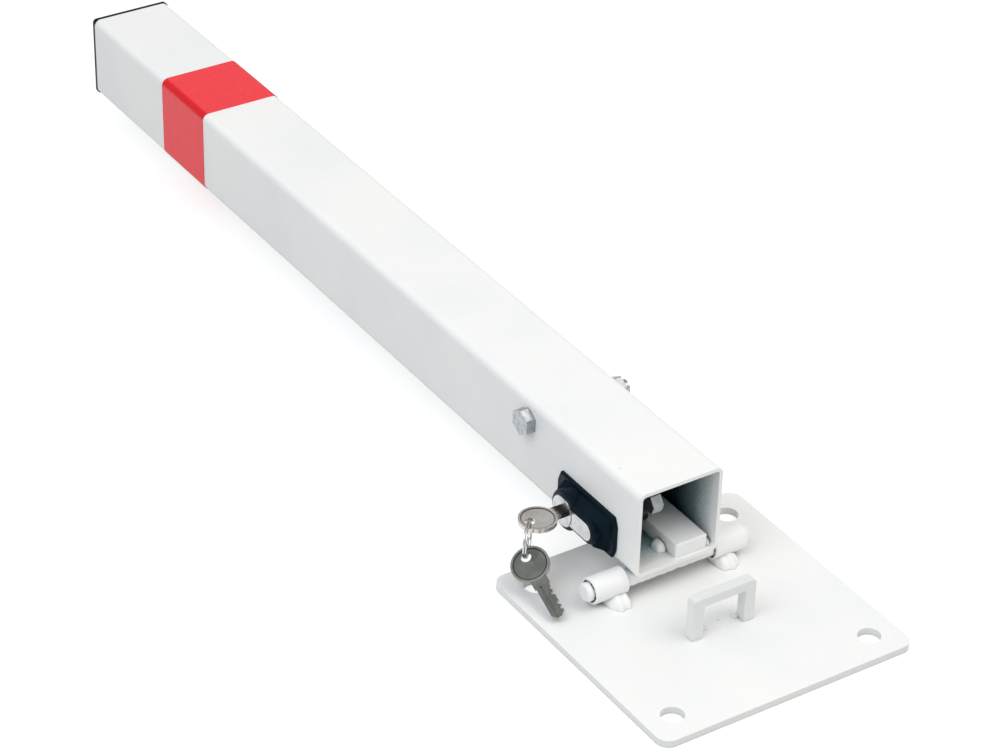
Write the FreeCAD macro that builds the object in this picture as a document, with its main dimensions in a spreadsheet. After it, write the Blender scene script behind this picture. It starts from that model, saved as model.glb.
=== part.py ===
import FreeCAD, Part
import Sketcher
import math
import os
import re

# A folding parking barrier: a square post hinged on a bolted-down plate, locked upright from inside.
# Millimetres. Origin at the middle of the plate's underside, +X along the hinge, +Y along the folded
# post from its mouth to its cap, +Z up.

# Driving dimensions, each written once
SIZES = {
    # Ground plate
    "plate_side": 150,
    "plate_thickness": 4,
    "plate_corner_radius": 7,
    "anchor_edge": 16,
    "anchor_hole_diameter": 12,
    # Hinge: two sleeves on the plate, one shaft welded under the post
    "hinge_offset": 31,
    "sleeve_diameter": 14,
    "sleeve_lift": 2.5,
    "sleeve_length": 19.5,
    "sleeve_side_gap": 1.5,
    "sleeve_edge_radius": 0.4,
    "sleeve_bore_chamfer": 0.7,
    "sleeve_weld_width": 12.4,
    "sleeve_weld_reach": 6,
    "sleeve_weld_height": 7.5,
    "shaft_diameter": 10,
    "shaft_overhang": 3.3,
    "shaft_chamfer": 0.8,
    "shaft_running_clearance": 0.08,
    "shaft_weld_length": 40,
    "shaft_weld_radius": 2.6,
    "shaft_weld_inset": 0.2,
    "shaft_weld_drop": 1.9,
    # Staple that the hook catches inside the upright post
    "staple_tube_gap": 3.4,
    "staple_width": 37,
    "staple_height": 24.2,
    "staple_leg": 6,
    "staple_depth": 6,
    "staple_crossbar": 5,
    "staple_corner_radius": 2,
    "staple_weld_radius": 1.6,
    # Square tube of the post
    "tube_size": 50,
    "tube_wall": 2,
    "tube_corner_radius": 4,
    "bore_corner_radius": 2,
    "tube_length": 580,
    "mouth_overhang": 9,
    # Plastic cap in the far end
    "cap_flange": 2.5,
    "cap_corner_radius": 2.5,
    "cap_plug_depth": 15,
    "cap_plug_wall": 2,
    "cap_fit": 0.1,
    "cap_rib_width": 1.5,
    # Reflective film
    "band_start": 442.5,
    "band_width": 50,
    "band_thickness": 0.3,
    # Flat bar inside the mouth
    "bar_wall_gap": 3.7,
    "bar_thickness": 8,
    "bar_length": 58,
    "bar_start": 1.8,
    "bar_side_offset": 0.3,
    "bar_edge_radius": 0.8,
    "tack_radius": 3.4,
    "tack_length": 9,
    # Pivot bolt of the hook
    "pivot_depth": 98,
    "pivot_share": 0.607,
    "pivot_diameter": 8,
    "pivot_hole_clearance": 0.2,
    "pivot_running_clearance": 0.08,
    "hex_across_flats": 13,
    "hex_turned_diameter": 14.56,
    "bolt_head_height": 5.3,
    "nut_height": 6.5,
    "bolt_end": 3.5,
    "spacer_diameter": 12,
    "spacer_clearance": 0.1,
    "hook_side_gap": 0.3,
    # Hook, cut from flat plate
    "hook_thickness": 6,
    "hook_reach": 6.8,
    "hook_nose_bevel": 1.8,
    "hook_catch_length": 10.2,
    "hook_catch_slope": 0.6,
    "hook_slot_width": 8.5,
    "hook_stem_start": 40,
    "hook_foot_start": 62,
    "hook_foot_slope": 8,
    "hook_foot_length": 6,
    "hook_foot_gap": 0.3,
    # Heights of the hook as shares of the room between the lock and the tube's far wall
    "hook_nose_low": 0.257,
    "hook_nose_middle": 0.43,
    "hook_catch_high": 0.634,
    "hook_slot_low": 0.409,
    "hook_stem_low": 0.175,
    "hook_stem_high": 0.747,
    "hook_hub_share": 0.35,
    # Where the hook's stem meets the hub, as shares of the hub's radius above and below its middle
    "hub_meets_high": 0.93,
    "hub_meets_low": 0.8,
    # Lock cylinder of the common pear-shaped profile, half length
    "lock_depth": 50.8,
    "lock_height": 13.8,
    "lock_projection": 10,
    "lock_length": 35,
    "lock_round_diameter": 17,
    "lock_lobe_width": 10,
    "lock_lobe_reach": 25,
    "lock_hole_clearance": 0.15,
    "cam_start": 20,
    "cam_width": 10,
    "cam_play": 0.1,
    "cam_radius": 15,
    "cam_nose_width": 7.5,
    "cam_swing_clearance": 0.5,
    "cam_rest_angle": 150,
    "plug_diameter": 13,
    "plug_head_diameter": 16.4,
    "plug_head_height": 0.4,
    "plug_tail_diameter": 10,
    "plug_tail_gap": 1,
    "plug_running_clearance": 0.05,
    "keyway_clearance": 0.15,
    # Screw that holds the cylinder from below
    "screw_diameter": 5,
    "screw_reach": 20,
    "screw_length": 18,
    "screw_head_diameter": 9.5,
    "screw_head_height": 3,
    "screw_hole_clearance": 0.25,
    "screw_socket": 3,
    "screw_socket_depth": 2,
    # Plastic plate and collar round the lock
    "escutcheon_start": 16.6,
    "escutcheon_length": 51,
    "escutcheon_bottom": 2,
    "escutcheon_width": 24.2,
    "escutcheon_thickness": 2,
    "escutcheon_end_rise": 3,
    "escutcheon_bevel": 0.7,
    "mound_inset": 1.2,
    "mound_height": 7.6,
    "collar_wall": 2.5,
    "collar_height": 9.4,
    "collar_rim_radius": 1.6,
    # Keys
    "bow_diameter": 20,
    "bow_rim": 1.2,
    "bow_recess": 0.25,
    "bow_hole_diameter": 5.4,
    "bow_hole_back": 4.6,
    "key_thickness": 2.2,
    "key_length": 44,
    "key_stand_off": 4.2,
    "collar_length": 4,
    "key_collar_width": 8.6,
    "blade_width": 7,
    "blade_groove": 0.5,
    "groove_width": 1,
    "tip_bevel": 2.4,
    "first_cut": 3.4,
    "cut_pitch": 3.1,
    "cut_flat": 0.8,
    "cut_depth": 1.6,
    "cut_flank": 0.7,
    # Split ring that joins the keys
    "ring_radius": 9.5,
    "ring_wire_height": 1.2,
    "ring_coil_width": 1.05,
    "ring_coil_gap": 0.15,
    "ring_joint_length": 4,
    "ring_play": 0.3,
    "ring_heading": 42,
    "ring_lean": 35,
    # The spare key that hangs from the ring with its tip by the plate
    "spare_hang": 70,
    "spare_slack": 1.3,
    "spare_rise": 1.5,
    "spare_heading": -95.6,
    "spare_dip": 17.6,
    "spare_roll": 26,
}

# Sizes that follow from the driving ones
DERIVED = {
    "anchor_pitch": "plate_side - 2 * anchor_edge",
    "hinge_height": "plate_thickness + sleeve_lift + sleeve_diameter / 2",
    "sleeve_inner_end": "tube_size / 2 + sleeve_side_gap",
    "sleeve_outer_end": "sleeve_inner_end + sleeve_length",
    "mouth_y": "hinge_offset - mouth_overhang",
    "tube_bottom": "hinge_height + shaft_diameter / 2",
    "half_tube": "tube_size / 2",
    "half_bore": "tube_size / 2 - tube_wall",
    "staple_offset": "tube_size - tube_wall - staple_tube_gap - staple_depth / 2 + shaft_diameter / 2 "
                     "- hinge_offset",
    "lock_face": "-half_tube - lock_projection",
    "lock_top": "lock_height + lock_round_diameter / 2",
    "lobe_centre": "lock_depth - lock_lobe_reach + lock_lobe_width / 2",
    "cam_left": "lock_face + cam_start",
    "cam_right": "lock_face + cam_start + cam_width",
    "bar_left": "lock_face + lock_length + bar_side_offset",
    "bar_right": "half_bore - bar_wall_gap",
    "hook_right": "cam_right",
    "hook_left": "cam_right - hook_thickness",
    "hook_room": "tube_size - tube_wall - lock_top",
    "hook_slot_start": "hook_reach + hook_catch_length",
    "hook_slot_end": "hook_slot_start + hook_slot_width",
    "pivot_height": "lock_top + pivot_share * hook_room",
    "hub_radius": "hook_hub_share * hook_room",
    "plug_radius": "plug_diameter / 2",
    "screw_x": "lock_face + cam_start + cam_width / 2",
    "screw_s": "lock_depth - screw_reach",
    "bow_radius": "bow_diameter / 2",
    "bow_centre_x": "lock_face - plug_head_height - key_stand_off - bow_radius",
    "keyway_end": "bow_centre_x - bow_radius + key_length + keyway_clearance",
}

X = FreeCAD.Vector(1, 0, 0)
Y = FreeCAD.Vector(0, 1, 0)
Z = FreeCAD.Vector(0, 0, 1)
ALONG_X = FreeCAD.Rotation(Y, 90)
ALONG_Z = FreeCAD.Rotation()
# How far a cutting tool runs past what it cuts, and how far off a level an edge counts as above it
MARGIN = 1
# How near to a plane an edge's middle counts as on it, and how straight two lines count as parallel
ON_PLANE = 0.01
PARALLEL = 0.999
# Cuts along the blade of a key
CUT_COUNT = 5

doc = FreeCAD.newDocument("ParkingBarrier")
sheet = doc.addObject("Spreadsheet::Sheet", "Sizes")
for row, (alias, number) in enumerate(SIZES.items(), 1):
    sheet.set(f"A{row}", alias.replace("_", " "))
    sheet.set(f"B{row}", str(number))
    sheet.setAlias(f"B{row}", alias)
doc.recompute()
NODES = []


def formula(text):
    """An expression for the document: derived names are opened up, driving ones point to the sheet."""
    def opened(match):
        word = match.group(0)
        if word in DERIVED:
            return "(" + formula(DERIVED[word]) + ")"
        if word in SIZES:
            return "Sizes." + word
        return word
    return re.sub(r"[A-Za-z_]\w*", opened, str(text))


def bind(thing, **properties):
    """Bind each property of an object to a formula."""
    for name, text in properties.items():
        thing.setExpression(name, formula(text))
    return thing


def move(thing, x=0, y=0, z=0):
    """Bind the place of an object to three formulas."""
    for axis, text in (("x", x), ("y", y), ("z", z)):
        thing.setExpression("Placement.Base." + axis, formula(text))
    return thing


def node(thing, label):
    """Name a finished sub-part; its label becomes its file's name."""
    thing.Label = label
    NODES.append(thing)
    return thing


def on_post(thing, label):
    """Name a sub-part drawn from the post's mouth (X across, Y up the post, Z from its underside)."""
    return node(move(thing, 0, "mouth_y", "tube_bottom"), label)


# Solid primitives and booleans

def box(x, y, z, length, width, height):
    """A block from its low corner."""
    return move(bind(doc.addObject("Part::Box", "Block"), Length=length, Width=width, Height=height), x, y, z)


def rod(direction, x, y, z, radius, length):
    """A cylinder that starts at a point and runs along one axis."""
    thing = doc.addObject("Part::Cylinder", "Rod")
    thing.Placement = FreeCAD.Placement(FreeCAD.Vector(), direction)
    return move(bind(thing, Radius=radius, Height=length), x, y, z)


def ball(x, y, z, radius_x, radius_y, radius_z):
    """An ellipsoid about a point."""
    thing = doc.addObject("Part::Ellipsoid", "Ball")
    thing.Angle1 = -90
    thing.Angle2 = 90
    thing.Angle3 = 360
    return move(bind(thing, Radius1=radius_z, Radius2=radius_x, Radius3=radius_y), x, y, z)


def hexagon(x, y, z, across_flats, length):
    """A hexagonal prism along X."""
    thing = doc.addObject("Part::Prism", "Hexagon")
    thing.Polygon = 6
    thing.Placement = FreeCAD.Placement(FreeCAD.Vector(), ALONG_X)
    return move(bind(thing, Circumradius=f"{across_flats} / 3 ^ 0.5", Height=length), x, y, z)


def fuse(*things):
    """One solid from several that touch or overlap."""
    whole = doc.addObject("Part::MultiFuse", "Joined")
    whole.Shapes = list(things)
    whole.Refine = True
    return whole


def common(*things):
    """What several solids share."""
    whole = doc.addObject("Part::MultiCommon", "Shared")
    whole.Shapes = list(things)
    return whole


def cut(base, *tools):
    """A solid less one or more others."""
    whole = doc.addObject("Part::Cut", "Cut")
    whole.Base = base
    whole.Tool = tools[0] if len(tools) == 1 else fuse(*tools)
    return whole


def round_edges(base, radius_name, choose, kind="Fillet"):
    """Fillet or chamfer the edges that a test picks out; its size comes from the sheet."""
    doc.recompute()
    radius = getattr(sheet, radius_name)
    thing = doc.addObject("Part::" + kind, kind)
    thing.Base = base
    picked = [i + 1 for i, edge in enumerate(base.Shape.Edges) if choose(edge)]
    thing.Edges = [(i, radius, radius) for i in picked]
    return thing


# Sketches and features of a body

def new_body(name):
    """An empty body whose origin planes can carry sketches."""
    body = doc.addObject("PartDesign::Body", name)
    doc.recompute()
    return body


def new_sketch(body, plane, offset=0):
    """A sketch on one of the body's own planes; the offset is along that plane's normal."""
    sketch = body.newObject("Sketcher::SketchObject", "Sketch")
    support = [item for item in body.Origin.OriginFeatures if item.Role == plane]
    sketch.AttachmentSupport = [(support[0], "")]
    sketch.MapMode = "FlatFace"
    sketch.setExpression("AttachmentOffset.Base.z", formula(offset))
    return sketch


def pin_point(sketch, geometry, position, x, y):
    """Hold one point of a sketch at two formulas from its origin."""
    for kind, text in (("DistanceX", x), ("DistanceY", y)):
        number = sketch.addConstraint(Sketcher.Constraint(kind, -1, 1, geometry, position, 1.0))
        name = f"place{number}"
        sketch.renameConstraint(number, name)
        sketch.setExpression("Constraints." + name, formula(text))


def polygon(sketch, points):
    """A closed outline through points given as pairs of formulas."""
    count = len(points)
    turn = 2 * math.pi / count
    start = [FreeCAD.Vector(math.cos(i * turn), math.sin(i * turn), 0) for i in range(count)]
    lines = [sketch.addGeometry(Part.LineSegment(start[i], start[(i + 1) % count])) for i in range(count)]
    for i in range(count):
        sketch.addConstraint(Sketcher.Constraint("Coincident", lines[i], 2, lines[(i + 1) % count], 1))
    for line, (x, y) in zip(lines, points):
        pin_point(sketch, line, 1, x, y)


def rectangle(sketch, x_low, x_high, y_low, y_high):
    """A rectangle between four formulas."""
    polygon(sketch, [(x_low, y_low), (x_high, y_low), (x_high, y_high), (x_low, y_high)])


def circle(sketch, x, y, diameter):
    """A circle at two formulas."""
    ring = sketch.addGeometry(Part.Circle(FreeCAD.Vector(), Z, 1))
    pin_point(sketch, ring, 3, x, y)
    number = sketch.addConstraint(Sketcher.Constraint("Diameter", ring, 2.0))
    sketch.renameConstraint(number, f"size{number}")
    sketch.setExpression(f"Constraints.size{number}", formula(diameter))


def pad(body, sketch, length, backwards=False):
    """Raise a sketch into a solid."""
    feature = body.newObject("PartDesign::Pad", "Pad")
    feature.Profile = sketch
    feature.Reversed = backwards
    bind(feature, Length=length)
    doc.recompute()
    return feature


def pocket(body, sketch, length, backwards=False):
    """Sink a sketch into the solid, and make sure that it took something away."""
    before = body.Shape.Volume
    feature = body.newObject("PartDesign::Pocket", "Pocket")
    feature.Profile = sketch
    feature.Reversed = backwards
    bind(feature, Length=length)
    doc.recompute()
    if not body.Shape.Volume < before:
        raise RuntimeError(f"{body.Name}: a pocket cut nothing")
    return feature


def dress(body, kind, choose):
    """A fillet or chamfer on the edges of the body that a test picks out."""
    base = body.Tip
    names = [f"Edge{i + 1}" for i, edge in enumerate(base.Shape.Edges) if choose(edge)]
    feature = body.newObject("PartDesign::" + kind, kind)
    feature.Base = (base, names)
    return feature


def fillet(body, radius, choose):
    """Round the edges that a test picks out."""
    bind(dress(body, "Fillet", choose), Radius=radius)
    doc.recompute()


def chamfer(body, size, choose):
    """Break the edges that a test picks out."""
    bind(dress(body, "Chamfer", choose), Size=size)
    doc.recompute()


def runs_along(edge, direction):
    """True for a straight edge parallel to a direction."""
    if not isinstance(edge.Curve, Part.Line):
        return False
    return abs(edge.Curve.Direction.dot(direction)) > PARALLEL


# Ground plate and what is welded to it

def make_base_plate():
    """Square steel plate with rounded corners and an anchor hole near each of them."""
    body = new_body("BasePlate")
    outline = new_sketch(body, "XY_Plane")
    rectangle(outline, "-plate_side / 2", "plate_side / 2", "-plate_side / 2", "plate_side / 2")
    pad(body, outline, "plate_thickness")
    fillet(body, "plate_corner_radius", lambda edge: runs_along(edge, Z))
    holes = new_sketch(body, "XY_Plane")
    for x in (-1, 1):
        for y in (-1, 1):
            circle(holes, f"{x} * anchor_pitch / 2", f"{y} * anchor_pitch / 2", "anchor_hole_diameter")
    pocket(body, holes, "plate_thickness", backwards=True)
    node(body, "base_plate")


def make_hinge_sleeve(label, start):
    """Short thick tube that holds one end of the hinge shaft."""
    body = new_body(label.title().replace("_", ""))
    ring = new_sketch(body, "YZ_Plane")
    circle(ring, 0, 0, "sleeve_diameter")
    circle(ring, 0, 0, "shaft_diameter + 2 * shaft_running_clearance")
    pad(body, ring, "sleeve_length")
    middle_of_wall = (sheet.sleeve_diameter + sheet.shaft_diameter) / 4

    def is_circle(edge, outer):
        return isinstance(edge.Curve, Part.Circle) and (edge.Curve.Radius > middle_of_wall) == outer

    fillet(body, "sleeve_edge_radius", lambda edge: is_circle(edge, True))
    chamfer(body, "sleeve_bore_chamfer", lambda edge: is_circle(edge, False))
    node(move(body, start, "hinge_offset", "hinge_height"), label)


def make_sleeve_welds():
    """A mound of weld under each sleeve, which carries it a little above the plate."""
    mounds = []
    for side in (-1, 1):
        middle = f"{side} * (sleeve_inner_end + sleeve_length / 3)"
        mound = ball(middle, "hinge_offset", "plate_thickness", "sleeve_weld_width / 2",
                     "sleeve_diameter / 2 + sleeve_weld_reach", "sleeve_weld_height")
        start = f"{middle} - 4 / 3 * sleeve_length"
        under = box(start, "hinge_offset - 2 * sleeve_length", "-plate_side", "3 * sleeve_length",
                    "4 * sleeve_length", "plate_side + plate_thickness")
        sleeve = rod(ALONG_X, start, "hinge_offset", "hinge_height", "sleeve_diameter / 2",
                     "3 * sleeve_length")
        mounds.append(cut(mound, under, sleeve))
    whole = doc.addObject("Part::Compound", "Mounds")
    whole.Links = mounds
    node(whole, "sleeve_welds")


def make_lock_staple():
    """Square-section staple, a bridge that the hook reaches behind."""
    body = new_body("LockStaple")
    front = new_sketch(body, "XZ_Plane", "staple_offset - staple_depth / 2")
    rectangle(front, "-staple_width / 2", "staple_width / 2", "plate_thickness",
              "plate_thickness + staple_height")
    pad(body, front, "staple_depth")
    fillet(body, "staple_corner_radius", lambda edge: runs_along(edge, Y)
           and edge.CenterOfMass.z > sheet.plate_thickness + MARGIN)
    window = new_sketch(body, "XZ_Plane", "staple_offset - staple_depth / 2")
    rectangle(window, "-staple_width / 2 + staple_leg", "staple_width / 2 - staple_leg", "plate_thickness",
              "plate_thickness + staple_height - staple_crossbar")
    pocket(body, window, "staple_depth", backwards=True)
    node(body, "lock_staple")


def make_staple_welds():
    """Small beads behind the two feet of the staple."""
    beads = []
    for side in (-1, 1):
        x = f"{side} * (staple_width / 2 - staple_leg / 2)"
        bead = ball(x, "-staple_offset + staple_depth / 2", "plate_thickness", "staple_leg / 2",
                    "staple_weld_radius", "staple_weld_radius")
        under = box(f"{x} - staple_leg", "-staple_offset - staple_depth", 0, "2 * staple_leg",
                    "3 * staple_depth", "plate_thickness")
        leg = box(f"{x} - staple_leg", "-staple_offset - staple_depth / 2", 0, "2 * staple_leg",
                  "staple_depth", "staple_height")
        beads.append(cut(bead, under, leg))
    whole = doc.addObject("Part::Compound", "Beads")
    whole.Links = beads
    node(whole, "staple_welds")


# Post

def lock_profile(grow, start, length):
    """The pear-shaped lock section, grown all round, as a solid along X from a start."""
    radius = f"lock_round_diameter / 2 + {grow}"
    half = f"(lock_lobe_width / 2 + {grow})"
    round_part = rod(ALONG_X, start, "lock_depth", "lock_height", radius, length)
    tip = rod(ALONG_X, start, "lobe_centre", "lock_height", half, length)
    web = box(start, "lobe_centre", f"lock_height - {half}", length, "lock_depth - lobe_centre",
              f"2 * {half}")
    return fuse(round_part, tip, web)


def make_post_tube():
    """Square tube with the lock's opening, the pivot's holes and the cylinder screw's hole."""
    body = new_body("PostTube")
    outside = new_sketch(body, "XZ_Plane")
    rectangle(outside, "-half_tube", "half_tube", 0, "tube_size")
    pad(body, outside, "tube_length", backwards=True)
    fillet(body, "tube_corner_radius", lambda edge: runs_along(edge, Y))
    inside = new_sketch(body, "XZ_Plane")
    rectangle(inside, "-half_bore", "half_bore", "tube_wall", "tube_size - tube_wall")
    pocket(body, inside, "tube_length")
    middle_of_wall = (sheet.tube_size - sheet.tube_wall) / 2
    fillet(body, "bore_corner_radius", lambda edge: runs_along(edge, Y)
           and abs(edge.CenterOfMass.x) < middle_of_wall
           and abs(edge.CenterOfMass.z - sheet.tube_size / 2) < middle_of_wall)
    pivot = rod(ALONG_X, "-tube_size", "pivot_depth", "pivot_height",
                "pivot_diameter / 2 + pivot_hole_clearance", "2 * tube_size")
    lock = lock_profile("lock_hole_clearance", "-tube_size", "half_tube + tube_wall")
    screw = rod(ALONG_Z, "screw_x", "screw_s", "-tube_wall",
                "screw_diameter / 2 + screw_hole_clearance", "3 * tube_wall")
    on_post(cut(body, pivot, lock, screw), "post_tube")


def make_end_cap():
    """Moulded cap: a thin square flange on a hollow ribbed plug that is pushed into the tube."""
    body = new_body("EndCap")
    flange = new_sketch(body, "XZ_Plane", "-tube_length")
    rectangle(flange, "-half_tube", "half_tube", 0, "tube_size")
    pad(body, flange, "cap_flange", backwards=True)
    fillet(body, "cap_corner_radius", lambda edge: runs_along(edge, Y))
    plug = new_sketch(body, "XZ_Plane", "-tube_length")
    inset = "(tube_wall + cap_fit + cap_rib_width / 2)"
    rectangle(plug, f"-half_tube + {inset}", f"half_tube - {inset}", inset, f"tube_size - {inset}")
    pad(body, plug, "cap_plug_depth")
    hollow = new_sketch(body, "XZ_Plane", "-tube_length + cap_plug_depth")
    inner = f"({inset} + cap_plug_wall)"
    rectangle(hollow, f"-half_tube + {inner}", f"half_tube - {inner}", inner, f"tube_size - {inner}")
    pocket(body, hollow, "cap_plug_depth")
    ribs = []
    across = "tube_size - 2 * tube_wall - 2 * cap_fit"
    for x, z, length, height in (
            ("-half_bore + cap_fit", "tube_size / 2 - cap_rib_width", across, "2 * cap_rib_width"),
            ("-cap_rib_width", "tube_wall + cap_fit", "2 * cap_rib_width", across)):
        ribs.append(box(x, "tube_length - cap_plug_depth + cap_rib_width", z, length,
                        "cap_plug_depth - cap_rib_width", height))
    core = box(f"-half_tube + {inner}", f"tube_length - cap_plug_depth - {MARGIN}", inner,
               f"tube_size - 2 * {inner}", f"cap_plug_depth + {MARGIN}", f"tube_size - 2 * {inner}")
    on_post(cut(fuse(body, *ribs), core), "end_cap")


def make_reflective_band():
    """Film wrapped once round the tube."""
    body = new_body("ReflectiveBand")
    film = new_sketch(body, "XZ_Plane", "-band_start")
    rectangle(film, "-half_tube - band_thickness", "half_tube + band_thickness", "-band_thickness",
              "tube_size + band_thickness")
    pad(body, film, "band_width", backwards=True)
    fillet(body, "tube_corner_radius + band_thickness", lambda edge: runs_along(edge, Y))
    hole = new_body("BandInside")
    core = new_sketch(hole, "XZ_Plane", "-band_start")
    rectangle(core, "-half_tube", "half_tube", 0, "tube_size")
    pad(hole, core, "band_width", backwards=True)
    fillet(hole, "tube_corner_radius", lambda edge: runs_along(edge, Y))
    on_post(cut(body, hole), "reflective_band")


def make_hinge_shaft():
    """Round bar across the underside of the post, chamfered at both ends."""
    body = new_body("HingeShaft")
    section = new_sketch(body, "YZ_Plane", "-sleeve_outer_end - shaft_overhang")
    circle(section, 0, 0, "shaft_diameter")
    pad(body, section, "2 * (sleeve_outer_end + shaft_overhang)")
    chamfer(body, "shaft_chamfer", lambda edge: isinstance(edge.Curve, Part.Circle))
    node(move(body, 0, "hinge_offset", "hinge_height"), "hinge_shaft")


def make_shaft_welds():
    """A bead on each side of the shaft, where it touches the tube."""
    beads = []
    for side in (-1, 1):
        bead = rod(ALONG_X, "-shaft_weld_length / 2",
                   f"mouth_overhang + {side} * (shaft_diameter / 2 - shaft_weld_inset)", "-shaft_weld_drop",
                   "shaft_weld_radius", "shaft_weld_length")
        shaft = rod(ALONG_X, "-shaft_weld_length", "mouth_overhang", "-shaft_diameter / 2",
                    "shaft_diameter / 2", "2 * shaft_weld_length")
        tube = box("-tube_size", "-mouth_overhang", 0, "2 * tube_size", "4 * mouth_overhang", "tube_wall")
        beads.append(cut(bead, shaft, tube))
    whole = doc.addObject("Part::Compound", "Beads")
    whole.Links = beads
    on_post(whole, "shaft_welds")


def make_inner_bar():
    """Flat bar on the floor of the tube, level with the staple's side."""
    body = new_body("InnerBar")
    section = new_sketch(body, "XZ_Plane", "-bar_start")
    rectangle(section, "bar_left", "bar_right", "tube_wall", "tube_wall + bar_thickness")
    pad(body, section, "bar_length", backwards=True)
    fillet(body, "bar_edge_radius", lambda edge: edge.CenterOfMass.z > sheet.tube_wall + MARGIN)
    on_post(body, "inner_bar")


def tack(x, y, rise):
    """A short lump of weld on the floor of the tube, kept inside its bore and off the bar."""
    lump = ball(x, y, f"tube_wall + {rise}", "tack_radius", "tack_length / 2", "tack_radius")
    block = box("-half_bore", 0, "tube_wall", "2 * half_bore", "bar_length", "tube_size - 2 * tube_wall")
    bore = round_edges(block, "bore_corner_radius", lambda edge: runs_along(edge, Y))
    bar = box("bar_left", "bar_start", "tube_wall", "bar_right - bar_left", "bar_length", "bar_thickness")
    return cut(common(lump, bore), bar)


def make_inner_bar_welds():
    """Tack welds that hold the bar: one at its left side, one in the corner at its right."""
    whole = doc.addObject("Part::Compound", "Beads")
    whole.Links = [tack("bar_left - tack_radius / 4", "bar_start + 1.2 * tack_length", "tack_radius / 2"),
                   tack("half_bore - bar_wall_gap / 2", "bar_start + tack_length / 2", "tack_radius / 6")]
    on_post(whole, "inner_bar_welds")


def make_pivot_bolt():
    """Hexagon bolt right through the post; its head is on the lock's side."""
    head = hexagon("-half_tube - bolt_head_height", "pivot_depth", "pivot_height", "hex_across_flats",
                   "bolt_head_height")
    dome = rod(ALONG_X, "-half_tube - bolt_head_height", "pivot_depth", "pivot_height",
               "hex_turned_diameter / 2", "bolt_head_height")
    shank = rod(ALONG_X, f"-half_tube - {MARGIN}", "pivot_depth", "pivot_height", "pivot_diameter / 2",
                f"tube_size + nut_height + bolt_end + {MARGIN}")
    on_post(fuse(common(head, dome), shank), "pivot_bolt")


def make_pivot_nut():
    """Hexagon nut on the far side."""
    nut = hexagon("half_tube", "pivot_depth", "pivot_height", "hex_across_flats", "nut_height")
    dome = rod(ALONG_X, "half_tube", "pivot_depth", "pivot_height", "hex_turned_diameter / 2", "nut_height")
    bore = rod(ALONG_X, f"half_tube - {MARGIN}", "pivot_depth", "pivot_height", "pivot_diameter / 2",
               f"nut_height + 2 * {MARGIN}")
    on_post(cut(common(nut, dome), bore), "pivot_nut")


def make_spacer(label, start, end):
    """Tube on the pivot that keeps the hook in line with the lock's cam."""
    length = f"({end}) - ({start})"
    outside = rod(ALONG_X, start, "pivot_depth", "pivot_height", "spacer_diameter / 2", length)
    bore = rod(ALONG_X, f"{start} - {MARGIN}", "pivot_depth", "pivot_height",
               "pivot_diameter / 2 + spacer_clearance", f"{length} + 2 * {MARGIN}")
    on_post(cut(outside, bore), label)


def make_latch_hook():
    """Flat hook on the pivot: a nose with a catch, a slot for the staple and a foot it rests on."""
    def level(share):
        return f"lock_top + {share} * hook_room"

    body = new_body("LatchHook")
    side = new_sketch(body, "YZ_Plane", "hook_left")
    foot = "tube_wall + hook_foot_gap"
    polygon(side, [
        ("hook_reach", level("hook_nose_middle")),
        ("hook_reach + hook_nose_bevel", level("hook_nose_low")),
        ("hook_stem_start", level("hook_stem_low")),
        ("hook_foot_start", level("hook_stem_low")),
        ("hook_foot_start + hook_foot_slope", foot),
        ("hook_foot_start + hook_foot_slope + hook_foot_length", foot),
        ("pivot_depth - hub_radius / 2", "pivot_height - hub_meets_low * hub_radius"),
        ("pivot_depth", "pivot_height"),
        ("pivot_depth - hub_radius / 3", "pivot_height + hub_meets_high * hub_radius"),
        ("hook_slot_end + hook_catch_slope", level("hook_stem_high")),
        ("hook_slot_end", f"{level('hook_stem_high')} - hook_catch_slope"),
        ("hook_slot_end", level("hook_slot_low")),
        ("hook_slot_start", level("hook_slot_low")),
        ("hook_slot_start", f"{level('hook_catch_high')} - hook_catch_slope"),
        ("hook_reach + 2 / 3 * hook_catch_length", level("hook_catch_high")),
        ("hook_reach + hook_catch_length / 3", f"{level('hook_catch_high')} - hook_catch_slope"),
    ])
    pad(body, side, "hook_thickness")
    hub = new_sketch(body, "YZ_Plane", "hook_left")
    circle(hub, "pivot_depth", "pivot_height", "2 * hub_radius")
    pad(body, hub, "hook_thickness")
    eye = new_sketch(body, "YZ_Plane", "hook_left")
    circle(eye, "pivot_depth", "pivot_height", "pivot_diameter + 2 * pivot_running_clearance")
    pocket(body, eye, "hook_thickness", backwards=True)
    on_post(body, "latch_hook")


# Lock

def make_cylinder_body():
    """Cylinder housing: bored for the plug, slotted across for the cam, drilled for its screw."""
    housing = lock_profile("0", "lock_face", "lock_length")
    bore = rod(ALONG_X, f"lock_face - {MARGIN}", "lock_depth", "lock_height",
               "plug_radius + plug_running_clearance", f"cam_start + 2 * {MARGIN}")
    rear_bore = rod(ALONG_X, "cam_left", "lock_depth", "lock_height",
                    "plug_tail_diameter / 2 + plug_running_clearance", "lock_length")
    slot = rod(ALONG_X, "cam_left", "lock_depth", "lock_height", "cam_radius + cam_swing_clearance",
               "cam_width")
    screw_bore = rod(ALONG_Z, "screw_x", "screw_s", 0, "screw_diameter / 2", "lock_height + lock_lobe_width")
    on_post(cut(housing, bore, rear_bore, slot, screw_bore), "lock_cylinder_body")


def make_cylinder_screw():
    """Pan-head screw from under the tube into the cylinder's lobe."""
    shank = rod(ALONG_Z, "screw_x", "screw_s", -MARGIN, "screw_diameter / 2", f"screw_length + {MARGIN}")
    head = rod(ALONG_Z, "screw_x", "screw_s", "-screw_head_height", "screw_head_diameter / 2",
               "screw_head_height")
    socket = rod(ALONG_Z, "screw_x", "screw_s", "-screw_head_height", "screw_socket / 2",
                 "screw_socket_depth")
    on_post(cut(fuse(shank, head), socket), "cylinder_screw")


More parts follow.
